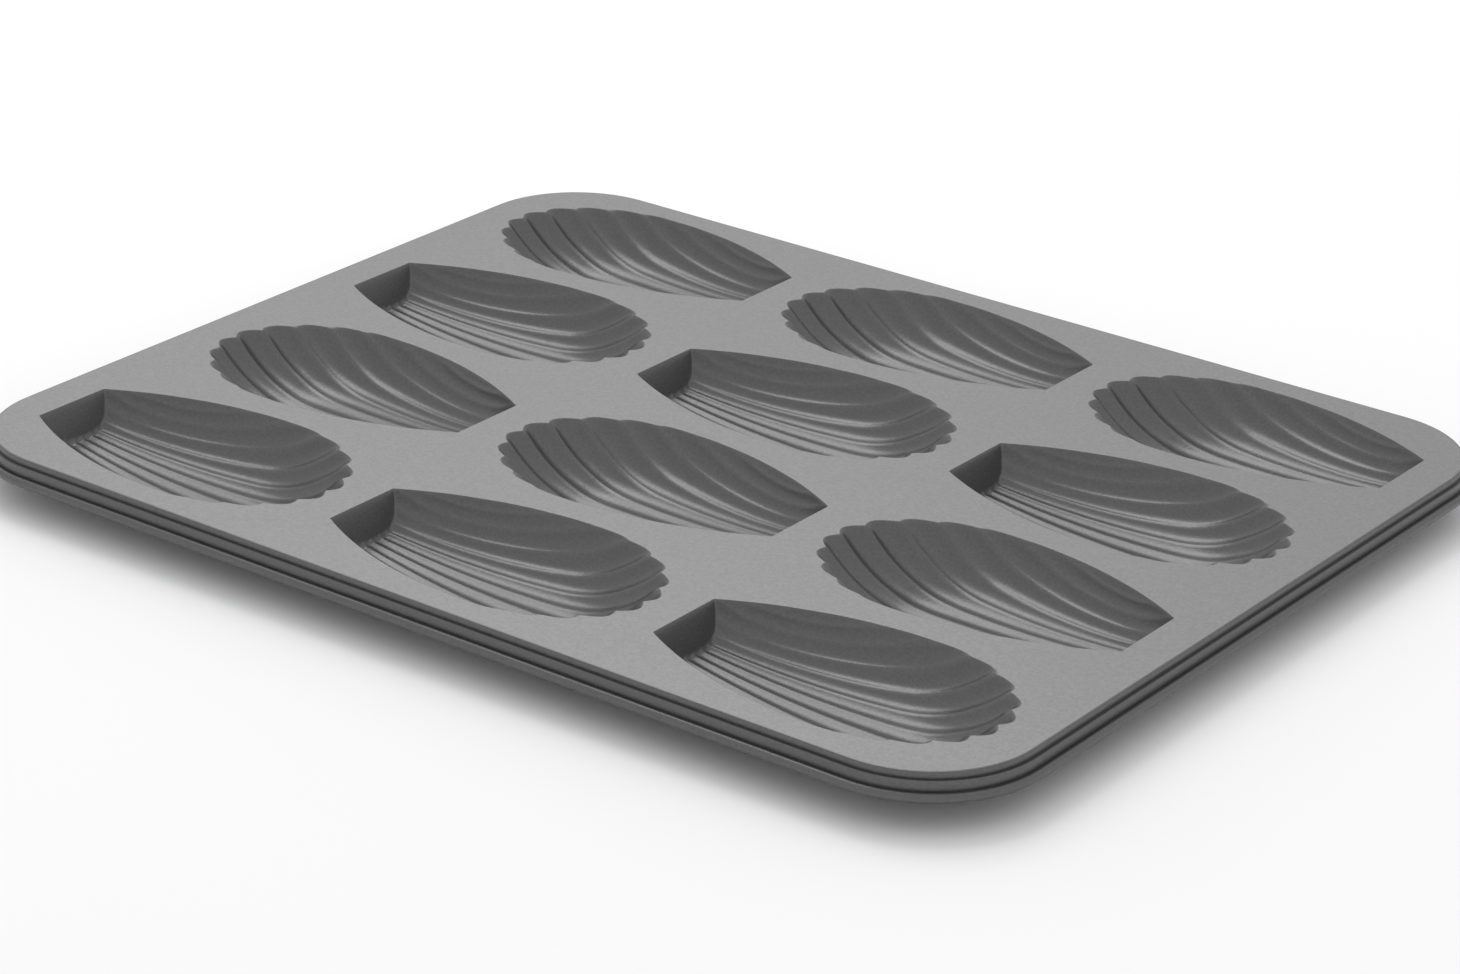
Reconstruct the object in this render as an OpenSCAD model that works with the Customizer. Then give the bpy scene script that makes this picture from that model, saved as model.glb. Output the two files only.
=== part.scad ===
// A twelve-cup madeleine pan, pressed from one steel sheet, with its edge rolled round a wire.
// Millimetres. X runs along the pan, Y across it, Z up. The origin is under the pan's middle,
// on the plane that the pan stands on. Rows a and c point their narrow ends to the left,
// rows b and d are turned round.

/* [Sheet] */
// Thickness of the pressed sheet
sheet = 0.6; // [0.4:0.05:0.8]

/* [Layout] */
// Flat strip between two columns of cups
column_gap = 10; // [6:0.5:20]
// Flat strip between two rows of cups
row_gap = 7.3; // [5:0.1:15]
// Flat strip between the end cups and the short edges
end_margin = 10.3; // [6:0.1:25]
// Flat strip between the outer cups and the long edges
side_margin = 6.7; // [5:0.1:25]
// Corner radius of the flat top
deck_corner = 27; // [15:1:35]

/* [Cup] */
// Widest place of the cup to its narrow end
side_length = 51; // [48:0.5:54]
// Widest place of the cup to the tip of its nose
nose_length = 33.5; // [30:0.5:38]
// Width of the cup at its widest place
cup_width = 49.7; // [46:0.1:54]
// Radius of the long curved sides
side_radius = 100.7; // [95:0.1:130]
// Depth of the cup's middle, between ridge and flute
cup_depth = 12.9; // [11.5:0.1:15]
// Depth of the floor where it meets the narrow end wall
end_depth = 8.6; // [6:0.1:10]
// How far the narrow end wall leans in over that depth
end_lean = 3.2; // [1.5:0.1:5]

/* [Flutes] */
// Distance behind the narrow end from which the flutes fan out
fan_back = 41.1; // [35:0.1:50]
// Height from ridge to flute bottom at the nose
flute_height = 0.8; // [0.2:0.05:1]
// Height from ridge to flute bottom at the narrow end
flute_height_end = 0.3; // [0.1:0.05:0.6]
// How far the flutes push the nose's edge out between two ridges
lobe = 2; // [0.5:0.1:2.5]

/* [Rim] */
// Outward reach of the small step under the top edge
step_out = 1.5; // [1.2:0.1:3]
// Drop from the top to the small step's ledge
step_drop = 1.7; // [1.4:0.1:2.5]
// Drop from the top to the middle of the rolled bead
bead_drop = 5.3; // [5:0.1:7.5]
// Thickness of the rolled bead
bead_size = 2.4; // [2.2:0.05:3]
// Gap all round between the bead and its wire
wire_gap = 0.02; // [0.01:0.01:0.05]
// Open joint between the two ends of the wire
wire_joint = 1; // [0.5:0.1:3]

/* [Colours] */
// Non-stick coating
coat_colour = [0.42, 0.42, 0.43];
// Bare wire
wire_colour = [0.55, 0.55, 0.56];

/* [Hidden] */
columns = 3;
rows = 4;
cup_length = side_length + nose_length;
pitch_x = cup_length + column_gap;
pitch_y = cup_width + row_gap;
deck_length = (columns - 1) * pitch_x + cup_length + 2 * end_margin;
deck_width = (rows - 1) * pitch_y + cup_width + 2 * side_margin;
bead_radius = bead_size / 2;

// Places in one cup, with x = 0 in the middle of its length
narrow_x = -cup_length / 2;
belly_x = narrow_x + side_length;
half_width = cup_width / 2;

// The fan of flutes: its lines start at fan_x and reach as far round as the cup's sides allow
fan_x = narrow_x - fan_back;
fan_reach = belly_x - fan_x;
side_centre = half_width - side_radius;
tangent_angle = asin(side_radius / norm([fan_reach, side_centre])) + atan2(side_centre, fan_reach);
widest_slope = tan(tangent_angle);
fan_slope = 1.026 * widest_slope;
fan_step = 10.8;
last_line = 7;
flute_share = 0.6;

// How round the cup's walls are across its middle and down its nose
wall_power = 3.6;
nose_power = 2.8;

// Half width of the cup at x, without its lobes
function half_at(x) = x < belly_x
    ? side_centre + sqrt(pow(side_radius, 2) - pow(belly_x - x, 2))
    : half_width * sqrt(max(0, 1 - pow((x - belly_x) / nose_length, 2)));

// Flute wave on fan line k: lowest on whole lines, which are the ridges
function wave(k) = abs(sin(180 * k)) - flute_share;

// Fan line through a place in the cup
function line_at(x, y) = asin(min(1, abs(y) / (x - fan_x) / fan_slope)) / fan_step;

// Depth of the cup's inside under a place in its mouth
function cup_depth_at(x, y) =
    let (
        u = max(0, (x - belly_x) / nose_length),
        f = wave(line_at(x, y)),
        e = x > belly_x
            ? norm([u, y / half_width]) - lobe * f * u / nose_length
            : abs(y) / half_at(x),
        power = wall_power + (nose_power - wall_power) * min(1, 2 * u),
        back = max(0, (belly_x - x) / side_length),
        floor_depth = cup_depth - (cup_depth - end_depth) * pow(back, 2),
        along = (x - narrow_x) / cup_length,
        h = floor_depth * (1 - pow(min(1, e), power)),
        height = flute_height_end + (flute_height - flute_height_end) * min(1, along * 1.4),
        fluted = h + height * f * min(1, h / 2)
    )
    max(0.05, min(fluted, (x - narrow_x) * end_depth / end_lean));

// Upright thickness of the sheet, which grows with the slope
function thick_at(x, y) =
    let (
        d = 0.4,
        gx = (cup_depth_at(x + d, y) - cup_depth_at(x - d, y)) / (2 * d),
        gy = (cup_depth_at(x, y + d) - cup_depth_at(x, y - d)) / (2 * d)
    )
    sheet * norm([1, min(2, norm([gx, gy]))]);

// Where the fan line of a slope enters and leaves the cup, as lengths along x from the fan's start
function side_root(m, sign) =
    let (
        b = fan_reach + abs(m) * side_centre,
        q = 1 + m * m,
        c = pow(fan_reach, 2) + pow(side_centre, 2) - pow(side_radius, 2)
    )
    (b + sign * sqrt(max(0, b * b - q * c))) / q;

function nose_root(m) =
    let (
        a = 1 / pow(nose_length, 2) + pow(m / half_width, 2),
        b = fan_reach / pow(nose_length, 2),
        c = pow(fan_reach / nose_length, 2) - 1
    )
    (b + sqrt(max(0, b * b - a * c))) / a;

function enter_at(m) = max(side_root(m, -1), fan_back);

function leave_at(m, k) =
    let (side = side_root(m, 1), nose = nose_root(m))
    side < fan_reach
        ? side
        : nose + lobe * wave(k) * min(1, 1.5 * max(0, nose - fan_reach) / nose_length);

// The cup's grid: one column of points on each fan line, and a single point at each side
stops = [0, 0.04, 0.12, 0.25, 0.42, 0.6, 0.77, 0.9, 0.97, 1];
lines = [for (k = [-last_line : 0.5 : last_line]) k];
stop_count = len(stops);
line_count = len(lines);
slopes = [for (k = lines) fan_slope * sin(fan_step * k)];
side_reach = side_root(widest_slope, 1);
side_point = [fan_x + side_reach, widest_slope * side_reach];

function grid_place(i, j) =
    let (
        m = slopes[i],
        start = enter_at(m),
        reach = start + (leave_at(m, lines[i]) - start) * stops[j]
    )
    [fan_x + reach, m * reach];

mouth_side = [side_point.x, -side_point.y];
inner_places = [for (i = [0 : line_count - 1]) for (j = [0 : stop_count - 1]) grid_place(i, j)];
on_edge = [for (i = [0 : line_count - 1]) for (j = [0 : stop_count - 1]) j == 0 || j == stop_count - 1];

cup_top = concat(
    [[mouth_side.x, mouth_side.y, 0]],
    [for (n = [0 : len(inner_places) - 1])
        let (p = inner_places[n])
        [p.x, p.y, on_edge[n] ? 0 : -cup_depth_at(p.x, p.y)]],
    [[side_point.x, side_point.y, 0]]
);
cup_bottom = [for (n = [0 : len(cup_top) - 1])
    let (p = cup_top[n])
    [p.x, p.y, p.z == 0 ? -sheet : p.z - thick_at(p.x, p.y)]];

// The pan stands on the lowest places of its cups
pan_height = -min([for (p = cup_bottom) p.z]);

top_count = len(cup_top);
far_point = top_count - 1;
function grid_index(i, j) = 1 + i * stop_count + j;

// Triangles of one side of the sheet, seen clockwise from above
grid_faces = concat(
    [for (j = [0 : stop_count - 2]) [0, grid_index(0, j), grid_index(0, j + 1)]],
    [for (i = [0 : line_count - 2]) for (j = [0 : stop_count - 2])
        [grid_index(i, j), grid_index(i + 1, j), grid_index(i + 1, j + 1)]],
    [for (i = [0 : line_count - 2]) for (j = [0 : stop_count - 2])
        [grid_index(i, j), grid_index(i + 1, j + 1), grid_index(i, j + 1)]],
    [for (j = [0 : stop_count - 2])
        [far_point, grid_index(line_count - 1, j + 1), grid_index(line_count - 1, j)]]
);

// The cup's mouth, once round
mouth_loop = concat(
    [0],
    [for (i = [0 : line_count - 1]) grid_index(i, 0)],
    [far_point],
    [for (i = [line_count - 1 : -1 : 0]) grid_index(i, stop_count - 1)]
);
mouth_count = len(mouth_loop);
mouth_outline = [for (n = mouth_loop) [cup_top[n].x, cup_top[n].y]];

wall_faces = [for (n = [0 : mouth_count - 1])
    let (a = mouth_loop[n], b = mouth_loop[(n + 1) % mouth_count])
    each [[a, a + top_count, b + top_count], [a, b + top_count, b]]];

module one_cup() {
    polyhedron(
        points = concat(cup_top, cup_bottom),
        faces = concat(
            grid_faces,
            [for (f = grid_faces) [f[0] + top_count, f[2] + top_count, f[1] + top_count]],
            wall_faces
        ),
        convexity = 6
    );
}

// Puts its children at the cup in one row and column, turned in every second row
module at_cup(row, column) {
    x = (column - (columns - 1) / 2) * pitch_x;
    y = (row - (rows - 1) / 2) * pitch_y;
    translate([x, y, 0])
        rotate([0, 0, row % 2 == 0 ? 0 : 180])
            children();
}

module cup(row, column) {
    color(coat_colour)
        translate([0, 0, pan_height])
            at_cup(row, column)
                one_cup();
}

module deck_outline() {
    square([deck_length - 2 * deck_corner, deck_width], center = true);
    square([deck_length, deck_width - 2 * deck_corner], center = true);
    for (x = [-1, 1], y = [-1, 1])
        translate([x * (deck_length / 2 - deck_corner), y * (deck_width / 2 - deck_corner)])
            circle(r = deck_corner, $fn = 96);
}

module deck() {
    color(coat_colour)
        translate([0, 0, pan_height - sheet])
            linear_extrude(sheet)
                difference() {
                    deck_outline();
                    for (row = [0 : rows - 1], column = [0 : columns - 1])
                        at_cup(row, column)
                            polygon(mouth_outline);
                }
}

// Runs a flat profile once round the deck's edge, with x measured out from that edge
module round_edge() {
    for (turn = [0 : 3]) {
        along = turn % 2 == 0 ? deck_width : deck_length;
        across = turn % 2 == 0 ? deck_length : deck_width;
        rotate([0, 0, 90 * turn])
            translate([across / 2 - deck_corner, along / 2 - deck_corner, pan_height]) {
                rotate([90, 0, 0])
                    linear_extrude(along - 2 * deck_corner)
                        translate([deck_corner, 0])
                            children();
                rotate_extrude(angle = 90, $fn = 96)
                    translate([deck_corner, 0])
                        children();
            }
    }
}

// The rim's skirt stands step_out beyond the deck, and the bead is rolled outward from its foot
bead_x = step_out - sheet + bead_radius;

module bead_place() {
    translate([bead_x, -bead_drop])
        children();
}

// The small step, its ledge and the skirt below, down to the bead
module rim_profile() {
    inner = step_out - sheet;
    difference() {
        polygon([
            [0, 0],
            [sheet * 0.6, -sheet * 0.1],
            [sheet * 0.9, -sheet * 0.5],
            [sheet, -sheet],
            [sheet, -step_drop],
            [step_out - 0.2, -step_drop],
            [step_out, -step_drop - 0.2],
            [step_out, -bead_drop],
            [inner, -bead_drop],
            [inner, -step_drop - sheet],
            [0, -step_drop - sheet],
            [0, 0]
        ]);
        bead_place()
            circle(r = bead_radius, $fn = 48);
    }
}

module rim_skirt() {
    color(coat_colour)
        round_edge()
            rim_profile();
}

module rim_bead() {
    color(coat_colour)
        round_edge()
            bead_place()
                difference() {
                    circle(r = bead_radius, $fn = 48);
                    circle(r = bead_radius - sheet, $fn = 48);
                }
}

// The wire is one bent rod whose two ends meet in the middle of the front
module rim_wire() {
    color(wire_colour)
        difference() {
            round_edge()
                bead_place()
                    circle(r = bead_radius - sheet - wire_gap, $fn = 32);
            translate([0, -deck_width / 2 - bead_x, pan_height - bead_drop])
                cube([wire_joint, bead_size, bead_size], center = true);
        }
}

module cup_a1() { cup(0, 0); }
module cup_a2() { cup(0, 1); }
module cup_a3() { cup(0, 2); }
module cup_b1() { cup(1, 0); }
module cup_b2() { cup(1, 1); }
module cup_b3() { cup(1, 2); }
module cup_c1() { cup(2, 0); }
module cup_c2() { cup(2, 1); }
module cup_c3() { cup(2, 2); }
module cup_d1() { cup(3, 0); }
module cup_d2() { cup(3, 1); }
module cup_d3() { cup(3, 2); }

deck();
rim_skirt();
rim_bead();
rim_wire();
cup_a1();
cup_a2();
cup_a3();
cup_b1();
cup_b2();
cup_b3();
cup_c1();
cup_c2();
cup_c3();
cup_d1();
cup_d2();
cup_d3();
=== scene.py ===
"""A twelve-cup madeleine pan in a white studio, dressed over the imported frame. Metres, Z up."""

import math

import bpy
import numpy as np
from mathutils import Matrix, Vector


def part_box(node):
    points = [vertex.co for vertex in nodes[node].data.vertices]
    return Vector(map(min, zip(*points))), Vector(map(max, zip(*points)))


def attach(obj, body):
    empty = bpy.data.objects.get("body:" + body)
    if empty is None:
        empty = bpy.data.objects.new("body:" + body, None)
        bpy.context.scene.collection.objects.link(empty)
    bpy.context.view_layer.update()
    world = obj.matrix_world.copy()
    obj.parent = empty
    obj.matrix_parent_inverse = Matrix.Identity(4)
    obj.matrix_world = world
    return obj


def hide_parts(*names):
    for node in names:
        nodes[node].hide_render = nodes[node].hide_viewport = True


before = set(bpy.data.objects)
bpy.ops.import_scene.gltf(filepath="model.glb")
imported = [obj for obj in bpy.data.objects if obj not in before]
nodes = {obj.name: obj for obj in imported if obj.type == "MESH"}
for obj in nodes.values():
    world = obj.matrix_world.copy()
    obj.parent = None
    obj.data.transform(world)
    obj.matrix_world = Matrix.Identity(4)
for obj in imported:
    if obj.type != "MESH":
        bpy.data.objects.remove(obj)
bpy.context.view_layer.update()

MM = 0.001
ROWS = "abcd"
COLUMNS = 3

# The pan, in millimetres, as in the part's source
SHEET = 0.6
DECK_CORNER = 27.0
SIDE_LENGTH = 51.0
NOSE_LENGTH = 33.5
CUP_WIDTH = 49.7
SIDE_RADIUS = 100.7
CUP_DEPTH = 12.9
END_DEPTH = 8.6
END_LEAN = 3.2
FAN_BACK = 41.1
FLUTE_HEIGHT = 0.8
FLUTE_HEIGHT_END = 0.3
LOBE = 2.0
COLUMN_GAP = 10.0
ROW_GAP = 7.3
FAN_SPREAD = 1.026
FAN_STEP = math.radians(10.8)
LAST_LINE = 7
FLUTE_SHARE = 0.6
WALL_POWER = 3.6
NOSE_POWER = 2.8
STEEPEST = 2.0

# The rounded edge of each cup, which only the scene has, in millimetres
LIP = 0.8
LIP_FADE = 4.0

# How finely the cups and the deck's corners are drawn
LINES_PER_FLUTE = 8
POINTS_PER_LINE = 110
CORNER_POINTS = 33
SLOPE_STEP = 0.2

# Shade, metal share, roughness and grain of each finish
DECK_FINISH = (0.23, 0.75, 0.42, 0.5)
# The next finish is the deck's coating made darker: painted shade for the cups' hollows and the rim's
# side faces, not a different coat
PAINTED_SHADE_FINISH = (0.12, 0.75, 0.34, 0.8)
WIRE_FINISH = (0.55, 1.0, 0.35, 0.2)
SPECKLE_SCALE = 1500.0
CLOUD_SCALE = 25.0
NOISE_DETAIL = 3.0
GRAIN_HEIGHT = 0.00005

PITCH_X = SIDE_LENGTH + NOSE_LENGTH + COLUMN_GAP
PITCH_Y = CUP_WIDTH + ROW_GAP
NARROW_X = -(SIDE_LENGTH + NOSE_LENGTH) / 2
BELLY_X = NARROW_X + SIDE_LENGTH
HALF_WIDTH = CUP_WIDTH / 2
FAN_X = NARROW_X - FAN_BACK
FAN_REACH = BELLY_X - FAN_X
SIDE_CENTRE = HALF_WIDTH - SIDE_RADIUS
WIDEST_SLOPE = math.tan(
    math.asin(SIDE_RADIUS / math.hypot(FAN_REACH, SIDE_CENTRE)) + math.atan2(SIDE_CENTRE, FAN_REACH)
)
FAN_SLOPE = FAN_SPREAD * WIDEST_SLOPE
DECK_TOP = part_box("deck")[1][2]


def half_at(x):
    """Half width of the cup at x, without its lobes."""
    side = SIDE_CENTRE + np.sqrt(np.clip(SIDE_RADIUS**2 - (BELLY_X - x) ** 2, 0, None))
    nose = HALF_WIDTH * np.sqrt(np.clip(1 - ((x - BELLY_X) / NOSE_LENGTH) ** 2, 0, None))
    return np.maximum(np.where(x < BELLY_X, side, nose), 0.1)


def wave(k):
    """Flute wave: lowest on whole fan lines, which are the ridges."""
    return np.abs(np.sin(np.pi * k)) - FLUTE_SHARE


def depth(x, y):
    """Depth of the cup's inside, with a rounded lip."""
    k = np.arcsin(np.clip(np.abs(y) / (x - FAN_X) / FAN_SLOPE, 0, 1)) / FAN_STEP
    f = wave(k)
    u = np.clip((x - BELLY_X) / NOSE_LENGTH, 0, None)
    nose = np.hypot(u, y / HALF_WIDTH) - LOBE * f * u / NOSE_LENGTH
    e = np.where(x > BELLY_X, nose, np.abs(y) / half_at(x))
    power = WALL_POWER + (NOSE_POWER - WALL_POWER) * np.clip(2 * u, 0, 1)
    back = np.clip((BELLY_X - x) / SIDE_LENGTH, 0, None)
    floor_depth = CUP_DEPTH - (CUP_DEPTH - END_DEPTH) * back**2
    along = (x - NARROW_X) / (SIDE_LENGTH + NOSE_LENGTH)
    h = floor_depth * (1 - np.clip(e, 0, 1) ** power)
    height = FLUTE_HEIGHT_END + (FLUTE_HEIGHT - FLUTE_HEIGHT_END) * np.clip(along * 1.4, 0, 1)
    h = h + height * f * np.clip(h / 2, 0, 1)
    h = np.clip(np.minimum(h, (x - NARROW_X) * END_DEPTH / END_LEAN), 0, None)
    return np.sqrt(h**2 + LIP**2) - LIP * np.exp(-h / LIP_FADE)


def side_root(m, sign):
    """Where a fan line of slope m meets the cup's long side, first (-1) or last (1)."""
    b = FAN_REACH + np.abs(m) * SIDE_CENTRE
    q = 1 + m * m
    c = FAN_REACH**2 + SIDE_CENTRE**2 - SIDE_RADIUS**2
    return (b + sign * np.sqrt(np.clip(b * b - q * c, 0, None))) / q


def nose_root(m):
    """Where a fan line of slope m meets the cup's nose."""
    a = 1 / NOSE_LENGTH**2 + (m / HALF_WIDTH) ** 2
    b = FAN_REACH / NOSE_LENGTH**2
    c = (FAN_REACH / NOSE_LENGTH) ** 2 - 1
    return (b + np.sqrt(np.clip(b * b - a * c, 0, None))) / a


def cup_grid():
    """Points of the cup's inside and outside on its fan lines, in the cup's own frame, in metres."""
    # The outermost line just misses the cup's side, so that it keeps a little length
    edge_line = math.asin(1 / FAN_SPREAD) / FAN_STEP * 0.9995
    spacing = 1 / LINES_PER_FLUTE
    inner = np.arange(-LAST_LINE, LAST_LINE + spacing / 2, spacing)
    k = np.concatenate([[-edge_line], inner, [edge_line]])
    m = FAN_SLOPE * np.sin(FAN_STEP * k)
    start = np.maximum(side_root(m, -1), FAN_BACK)
    side, nose = side_root(m, 1), nose_root(m)
    lobes = LOBE * wave(k) * np.clip(1.5 * (nose - FAN_REACH) / NOSE_LENGTH, 0, 1)
    end = np.where(side < FAN_REACH, side, nose + lobes)
    t = 0.5 - 0.5 * np.cos(np.linspace(0, np.pi, POINTS_PER_LINE))
    reach = start[:, None] + (end - start)[:, None] * t[None, :]
    x, y = FAN_X + reach, m[:, None] * reach
    h = depth(x, y)
    h[:, 0] = h[:, -1] = 0
    d = SLOPE_STEP
    gx = (depth(x + d, y) - depth(x - d, y)) / (2 * d)
    gy = (depth(x, y + d) - depth(x, y - d)) / (2 * d)
    under = h + SHEET * np.hypot(1, np.minimum(np.hypot(gx, gy), STEEPEST))
    under = np.minimum(under, DECK_TOP / MM)
    top = np.stack([x, y, -h], -1) * MM
    bottom = np.stack([x, y, -under], -1) * MM
    return top, bottom


def cup_place(row, column):
    """Middle of a cup in the row frame, in metres."""
    x = (column - (COLUMNS - 1) / 2) * PITCH_X * MM
    y = (row - (len(ROWS) - 1) / 2) * PITCH_Y * MM
    return x, y


def add_piece(name, data):
    """A new object in the scene."""
    piece = bpy.data.objects.new(name, data)
    bpy.context.scene.collection.objects.link(piece)
    return piece


def build_cup(name, row, column, material):
    """One cup as a closed shell, turned round in every second row."""
    top, bottom = cup_grid()
    lines, stops = top.shape[:2]
    points = np.concatenate([top.reshape(-1, 3), bottom.reshape(-1, 3)])
    count = lines * stops
    index = np.arange(count).reshape(lines, stops)
    a, b, c, d = index[:-1, :-1], index[1:, :-1], index[1:, 1:], index[:-1, 1:]
    upper = np.stack([a, b, c, d], -1).reshape(-1, 4)
    lower = upper[:, ::-1] + count
    loop = np.concatenate([index[:, 0], index[-1, 1:], index[-2::-1, -1], index[0, -2:0:-1]])
    after = np.roll(loop, -1)
    wall = np.stack([after, loop, loop + count, after + count], -1)
    faces = np.concatenate([upper, lower, wall])
    mesh = bpy.data.meshes.new(name)
    mesh.from_pydata(points.tolist(), [], faces.tolist())
    mesh.polygons.foreach_set("use_smooth", [True] * (2 * len(upper)) + [False] * len(wall))
    mesh.update()
    mesh.materials.append(material)
    piece = add_piece(name, mesh)
    piece.location = (*cup_place(row, column), DECK_TOP)
    piece.rotation_euler.z = 0 if row % 2 == 0 else math.pi
    bpy.context.view_layer.update()
    return piece


def deck_loop():
    """The deck's outline with its round corners, in metres."""
    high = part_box("deck")[1]
    corner = DECK_CORNER * MM
    loop = []
    for turn, (sx, sy) in enumerate(((1, 1), (-1, 1), (-1, -1), (1, -1))):
        for angle in np.radians(90 * turn + np.linspace(0, 90, CORNER_POINTS)):
            loop.append((
                sx * (high[0] - corner) + corner * math.cos(angle),
                sy * (high[1] - corner) + corner * math.sin(angle),
            ))
    return loop


def build_deck(material):
    """The flat top as one plate with the cups' smooth mouths cut out."""
    top, _ = cup_grid()
    mouth = np.concatenate([top[:, 0], top[::-1, -1]])[:, :2]
    loops = [deck_loop()]
    for row in range(len(ROWS)):
        for column in range(COLUMNS):
            turn = 1 if row % 2 == 0 else -1
            loops.append((mouth * turn + np.array(cup_place(row, column))).tolist())
    curve = bpy.data.curves.new("pressed_deck", "CURVE")
    curve.dimensions = "2D"
    curve.fill_mode = "BOTH"
    curve.extrude = SHEET * MM / 2
    for loop in loops:
        spline = curve.splines.new("POLY")
        spline.points.add(len(loop) - 1)
        for point, (x, y) in zip(spline.points, loop):
            point.co = (x, y, 0, 1)
        spline.use_cyclic_u = True
    shape = add_piece("deck_curve", curve)
    bpy.context.view_layer.update()
    solid = shape.evaluated_get(bpy.context.evaluated_depsgraph_get())
    mesh = bpy.data.meshes.new_from_object(solid)
    bpy.data.objects.remove(shape)
    mesh.materials.clear()
    mesh.materials.append(material)
    deck = add_piece("pressed_deck", mesh)
    deck.location.z = DECK_TOP - SHEET * MM / 2
    bpy.context.view_layer.update()
    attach(deck, "root")
    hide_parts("deck")


def noise_value(tree, scale):
    """Noise on the object's own coordinates."""
    place = tree.nodes.new("ShaderNodeTexCoord")
    noise = tree.nodes.new("ShaderNodeTexNoise")
    noise.inputs["Scale"].default_value = scale
    noise.inputs["Detail"].default_value = NOISE_DETAIL
    tree.links.new(place.outputs["Object"], noise.inputs["Vector"])
    return noise.outputs["Fac"]


def ramp(tree, value, low, high):
    """Spreads the middle of a noise value over a range."""
    node = tree.nodes.new("ShaderNodeMapRange")
    node.inputs["From Min"].default_value = 0.3
    node.inputs["From Max"].default_value = 0.7
    node.inputs["To Min"].default_value = low
    node.inputs["To Max"].default_value = high
    tree.links.new(value, node.inputs["Value"])
    return node.outputs["Result"]


def metal_material(name, shade, metallic, roughness, grain):
    """Metal with a fine grain in its colour, gloss and surface."""
    material = bpy.data.materials.new(name)
    material.use_nodes = True
    tree = material.node_tree
    shader = tree.nodes["Principled BSDF"]
    shader.inputs["Metallic"].default_value = metallic
    speckle = noise_value(tree, SPECKLE_SCALE)
    cloud = noise_value(tree, CLOUD_SCALE)
    mix = tree.nodes.new("ShaderNodeMix")
    mix.data_type = "RGBA"
    mix.inputs["A"].default_value = (shade * 0.9, shade * 0.9, shade * 0.91, 1)
    mix.inputs["B"].default_value = (shade * 1.1, shade * 1.1, shade * 1.1, 1)
    tree.links.new(ramp(tree, speckle, 0.0, 1.0), mix.inputs["Factor"])
    tree.links.new(mix.outputs["Result"], shader.inputs["Base Color"])
    gloss = ramp(tree, cloud, roughness - 0.03, roughness + 0.03)
    tree.links.new(gloss, shader.inputs["Roughness"])
    bump = tree.nodes.new("ShaderNodeBump")
    bump.inputs["Strength"].default_value = grain
    bump.inputs["Distance"].default_value = GRAIN_HEIGHT
    tree.links.new(speckle, bump.inputs["Height"])
    tree.links.new(bump.outputs["Normal"], shader.inputs["Normal"])
    return material


def dress_pan():
    """The deck and cups as finer pieces, and the rim's own solids with a finish; the cups, skirt and
    bead get a darker coat that is painted shade.
    """
    coating = metal_material("coating", *DECK_FINISH)
    # Darker copy of the coating, painted shade for the hollows and the rim
    painted_shade_coating = metal_material("painted_shade_coating", *PAINTED_SHADE_FINISH)
    wire = metal_material("wire", *WIRE_FINISH)
    build_deck(coating)
    # The rim's skirt and bead take the darker coat, painted shade for their shaded faces
    for name, material in (("rim_skirt", painted_shade_coating), ("rim_bead", painted_shade_coating), ("rim_wire", wire)):
        nodes[name].data.materials.clear()
        nodes[name].data.materials.append(material)
    for row, letter in enumerate(ROWS):
        for column in range(COLUMNS):
            node = f"cup_{letter}{column + 1}"
            # Each cup takes the darker coat, painted shade for its hollow
            piece = build_cup(f"pressed_{node}", row, column, painted_shade_coating)
            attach(piece, "root")
            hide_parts(node)


def build_floor():
    """A wide white matt floor, a hair below the pan."""
    half = 6.0
    corners = [(-half, -half, 0), (half, -half, 0), (half, half, 0), (-half, half, 0)]
    mesh = bpy.data.meshes.new("floor")
    mesh.from_pydata(corners, [], [(0, 1, 2, 3)])
    floor = add_piece("floor", mesh)
    floor.location.z = -0.0002
    material = bpy.data.materials.new("floor")
    material.use_nodes = True
    shader = material.node_tree.nodes["Principled BSDF"]
    shader.inputs["Base Color"].default_value = (0.92, 0.92, 0.92, 1)
    shader.inputs["Roughness"].default_value = 0.9
    shader.inputs["Specular IOR Level"].default_value = 0.0
    mesh.materials.append(material)


def build_light(name, place, size, power):
    """A soft square light that faces the pan."""
    data = bpy.data.lights.new(name, "AREA")
    data.shape = "SQUARE"
    data.size = size
    data.energy = power
    light = add_piece(name, data)
    light.location = place
    light.rotation_euler = (-Vector(place)).to_track_quat("-Z", "Y").to_euler()


def build_studio():
    """An even white surround, one soft light from the back left, and the floor."""
    world = bpy.data.worlds.new("studio")
    bpy.context.scene.world = world
    world.use_nodes = True
    background = world.node_tree.nodes["Background"]
    background.inputs["Color"].default_value = (1, 1, 1, 1)
    background.inputs["Strength"].default_value = 0.85
    build_light("key", (-0.9, 0.7, 1.6), 1.2, 12.0)
    build_floor()


def build_camera():
    """The photograph's view, fitted to the cups and the rim."""
    azimuth, elevation, roll = (math.radians(v) for v in (36.644, 23.839, 1.278))
    distance = 1.0037
    target = Vector((0.01793, -0.02333, DECK_TOP))
    back = Vector((
        math.sin(azimuth) * math.cos(elevation),
        -math.cos(azimuth) * math.cos(elevation),
        math.sin(elevation),
    ))
    level = Vector((math.cos(azimuth), math.sin(azimuth), 0))
    upward = back.cross(level)
    right = math.cos(roll) * level + math.sin(roll) * upward
    up = -math.sin(roll) * level + math.cos(roll) * upward
    data = bpy.data.cameras.new("camera")
    data.sensor_width = 36.0
    data.lens = 105.25
    data.clip_start, data.clip_end = 0.01, 50.0
    camera = add_piece("camera", data)
    turn = Matrix((right, up, back)).transposed().to_4x4()
    camera.matrix_world = Matrix.Translation(target + back * distance) @ turn
    bpy.context.scene.camera = camera


dress_pan()
build_studio()
build_camera()
bpy.context.scene.view_settings.view_transform = "Standard"
